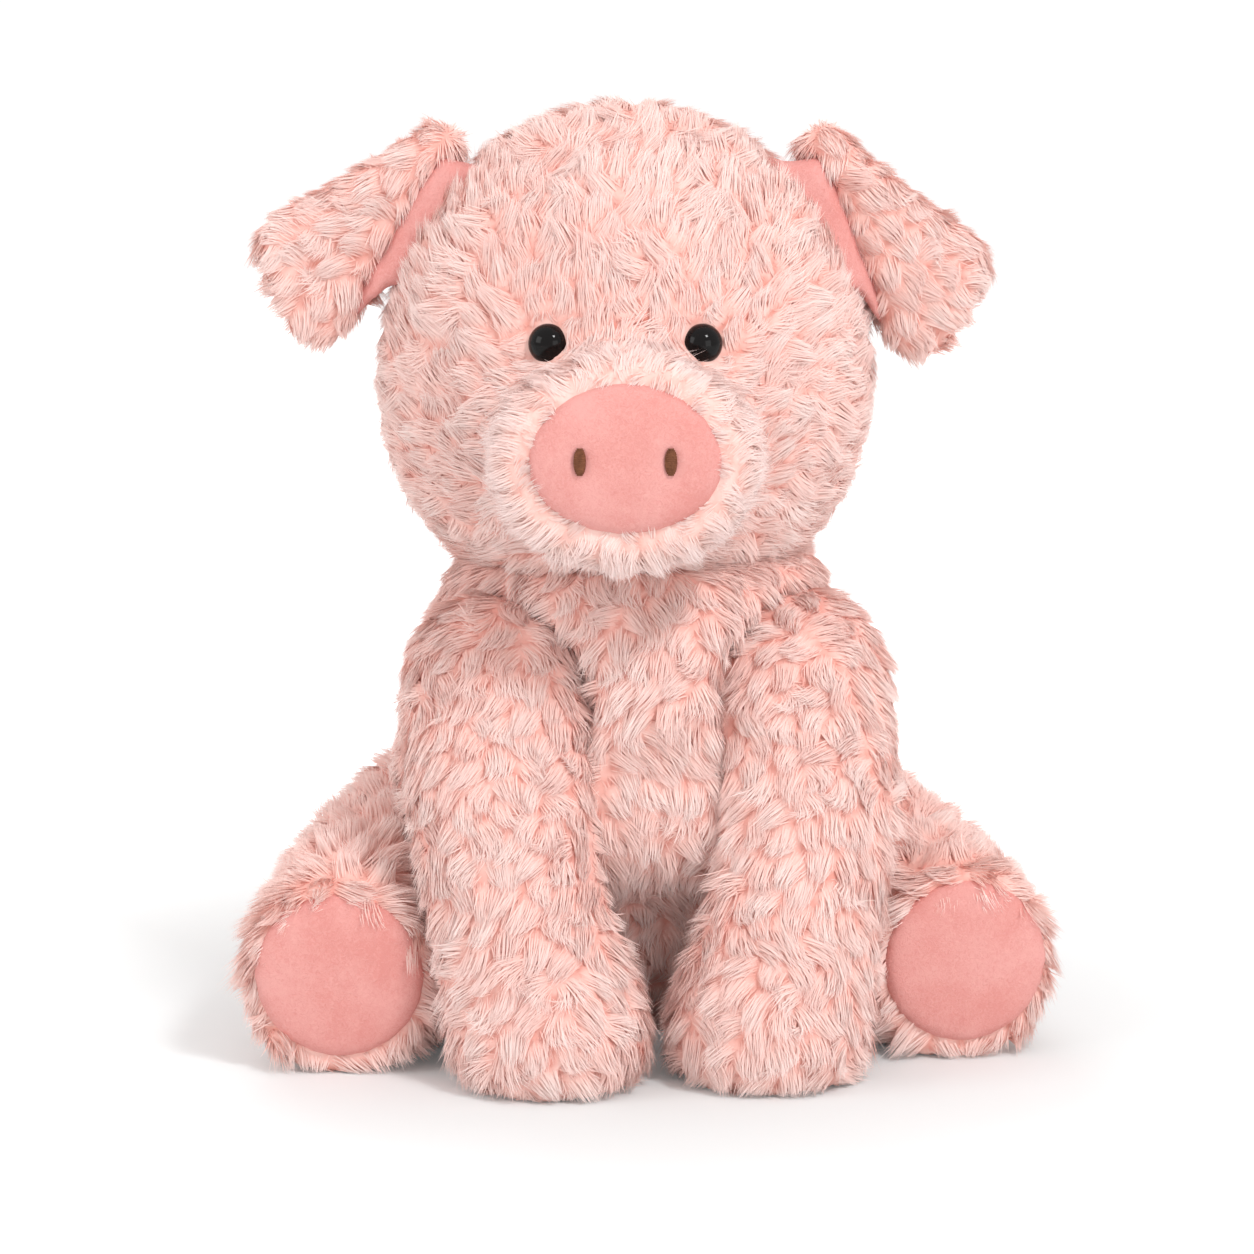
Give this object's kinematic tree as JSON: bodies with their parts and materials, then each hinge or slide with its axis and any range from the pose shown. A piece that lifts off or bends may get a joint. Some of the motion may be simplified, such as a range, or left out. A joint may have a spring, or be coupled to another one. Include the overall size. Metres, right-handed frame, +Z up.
{
  "type": "plush pig",
  "caption": "Seated plush pig with a round head, velour snout and soles, folded ears, domed eyes and stuffed legs that flex at their sewn joints.",
  "frame": {"origin": "middle of the flat seat panel, on the surface the toy sits on", "axes": "+Z up, the pig faces -Y, and its own left side is at +X"},
  "size_m": [0.2034, 0.1767, 0.239],
  "materials": {
    "plush": "long curly pale pink plush pile",
    "muzzle_plush": "short paler pink plush pile",
    "velour": "short-nap salmon pink velour",
    "nostril_thread": "brown satin-stitch thread",
    "eye_gloss": "black gloss moulding with a dark brown edge",
    "washer_plastic": "plain white moulding",
    "fibre_fill": "white polyester fibre",
    "pellet_bag": "thin cloth bag of plastic pellets"
  },
  "bodies": {
    "body": {"body_front_panel": "plush", "body_back_panel_left": "plush", "body_back_panel_right": "plush", "body_seat_panel": "plush", "body_stuffing": "fibre_fill", "pellet_bag": "pellet_bag"},
    "head": {"head_front_panel": "plush", "head_back_panel": "plush", "muzzle_panel": "muzzle_plush", "snout_pad": "velour", "nostril_left": "nostril_thread", "nostril_right": "nostril_thread", "eye_left": "eye_gloss", "eye_right": "eye_gloss", "eye_washer_left": "washer_plastic", "eye_washer_right": "washer_plastic", "head_stuffing": "fibre_fill"},
    "ear_left": {"ear_outer_left": "plush", "ear_lining_left": "velour"},
    "ear_right": {"ear_outer_right": "plush", "ear_lining_right": "velour"},
    "front_leg_left": {"front_leg_skin_left": "plush", "front_leg_sole_left": "velour", "front_leg_stuffing_left": "fibre_fill"},
    "front_leg_right": {"front_leg_skin_right": "plush", "front_leg_sole_right": "velour", "front_leg_stuffing_right": "fibre_fill"},
    "hind_leg_left": {"hind_leg_skin_left": "plush", "hind_leg_sole_left": "velour", "hind_leg_stuffing_left": "fibre_fill"},
    "hind_leg_right": {"hind_leg_skin_right": "plush", "hind_leg_sole_right": "velour", "hind_leg_stuffing_right": "fibre_fill"},
    "tail": {"tail": "velour"}
  },
  "joints": [
    {"name": "head_turn", "type": "hinge", "parent": "body", "child": "head", "pos_m": [-0.003, 0, 0.127], "axis": [0, 0, 1], "range_deg": [-35, 35], "stiffness_Nm_per_rad": 0.05},
    {"name": "ear_left_swing", "type": "hinge", "parent": "head", "child": "ear_left", "pos_m": [0.04434, -0.00657, 0.21092], "axis": [0.4986, -0.048, -0.8655], "range_deg": [-25, 20], "stiffness_Nm_per_rad": 0.004},
    {"name": "ear_right_swing", "type": "hinge", "parent": "head", "child": "ear_right", "pos_m": [-0.05072, 0.00259, 0.21092], "axis": [0.6136, -0.0591, 0.7874], "range_deg": [-25, 20], "stiffness_Nm_per_rad": 0.004},
    {"name": "front_leg_left_lift", "type": "hinge", "parent": "body", "child": "front_leg_left", "pos_m": [0.0365, -0.036, 0.095], "axis": [-1, 0, 0], "range_deg": [0, 55], "stiffness_Nm_per_rad": 0.03},
    {"name": "front_leg_right_lift", "type": "hinge", "parent": "body", "child": "front_leg_right", "pos_m": [-0.0365, -0.036, 0.095], "axis": [-1, 0, 0], "range_deg": [0, 55], "stiffness_Nm_per_rad": 0.03},
    {"name": "hind_leg_left_splay", "type": "hinge", "parent": "body", "child": "hind_leg_left", "pos_m": [0.048, 0.016, 0.038], "axis": [0, 0, 1], "range_deg": [0, 25], "stiffness_Nm_per_rad": 0.03},
    {"name": "hind_leg_right_splay", "type": "hinge", "parent": "body", "child": "hind_leg_right", "pos_m": [-0.048, 0.016, 0.038], "axis": [0, 0, -1], "range_deg": [0, 25], "stiffness_Nm_per_rad": 0.03},
    {"name": "tail_wag", "type": "hinge", "parent": "body", "child": "tail", "pos_m": [0, 0.066, 0.04], "axis": [0, 0, 1], "range_deg": [-20, 20], "stiffness_Nm_per_rad": 0.0005}
  ]
}
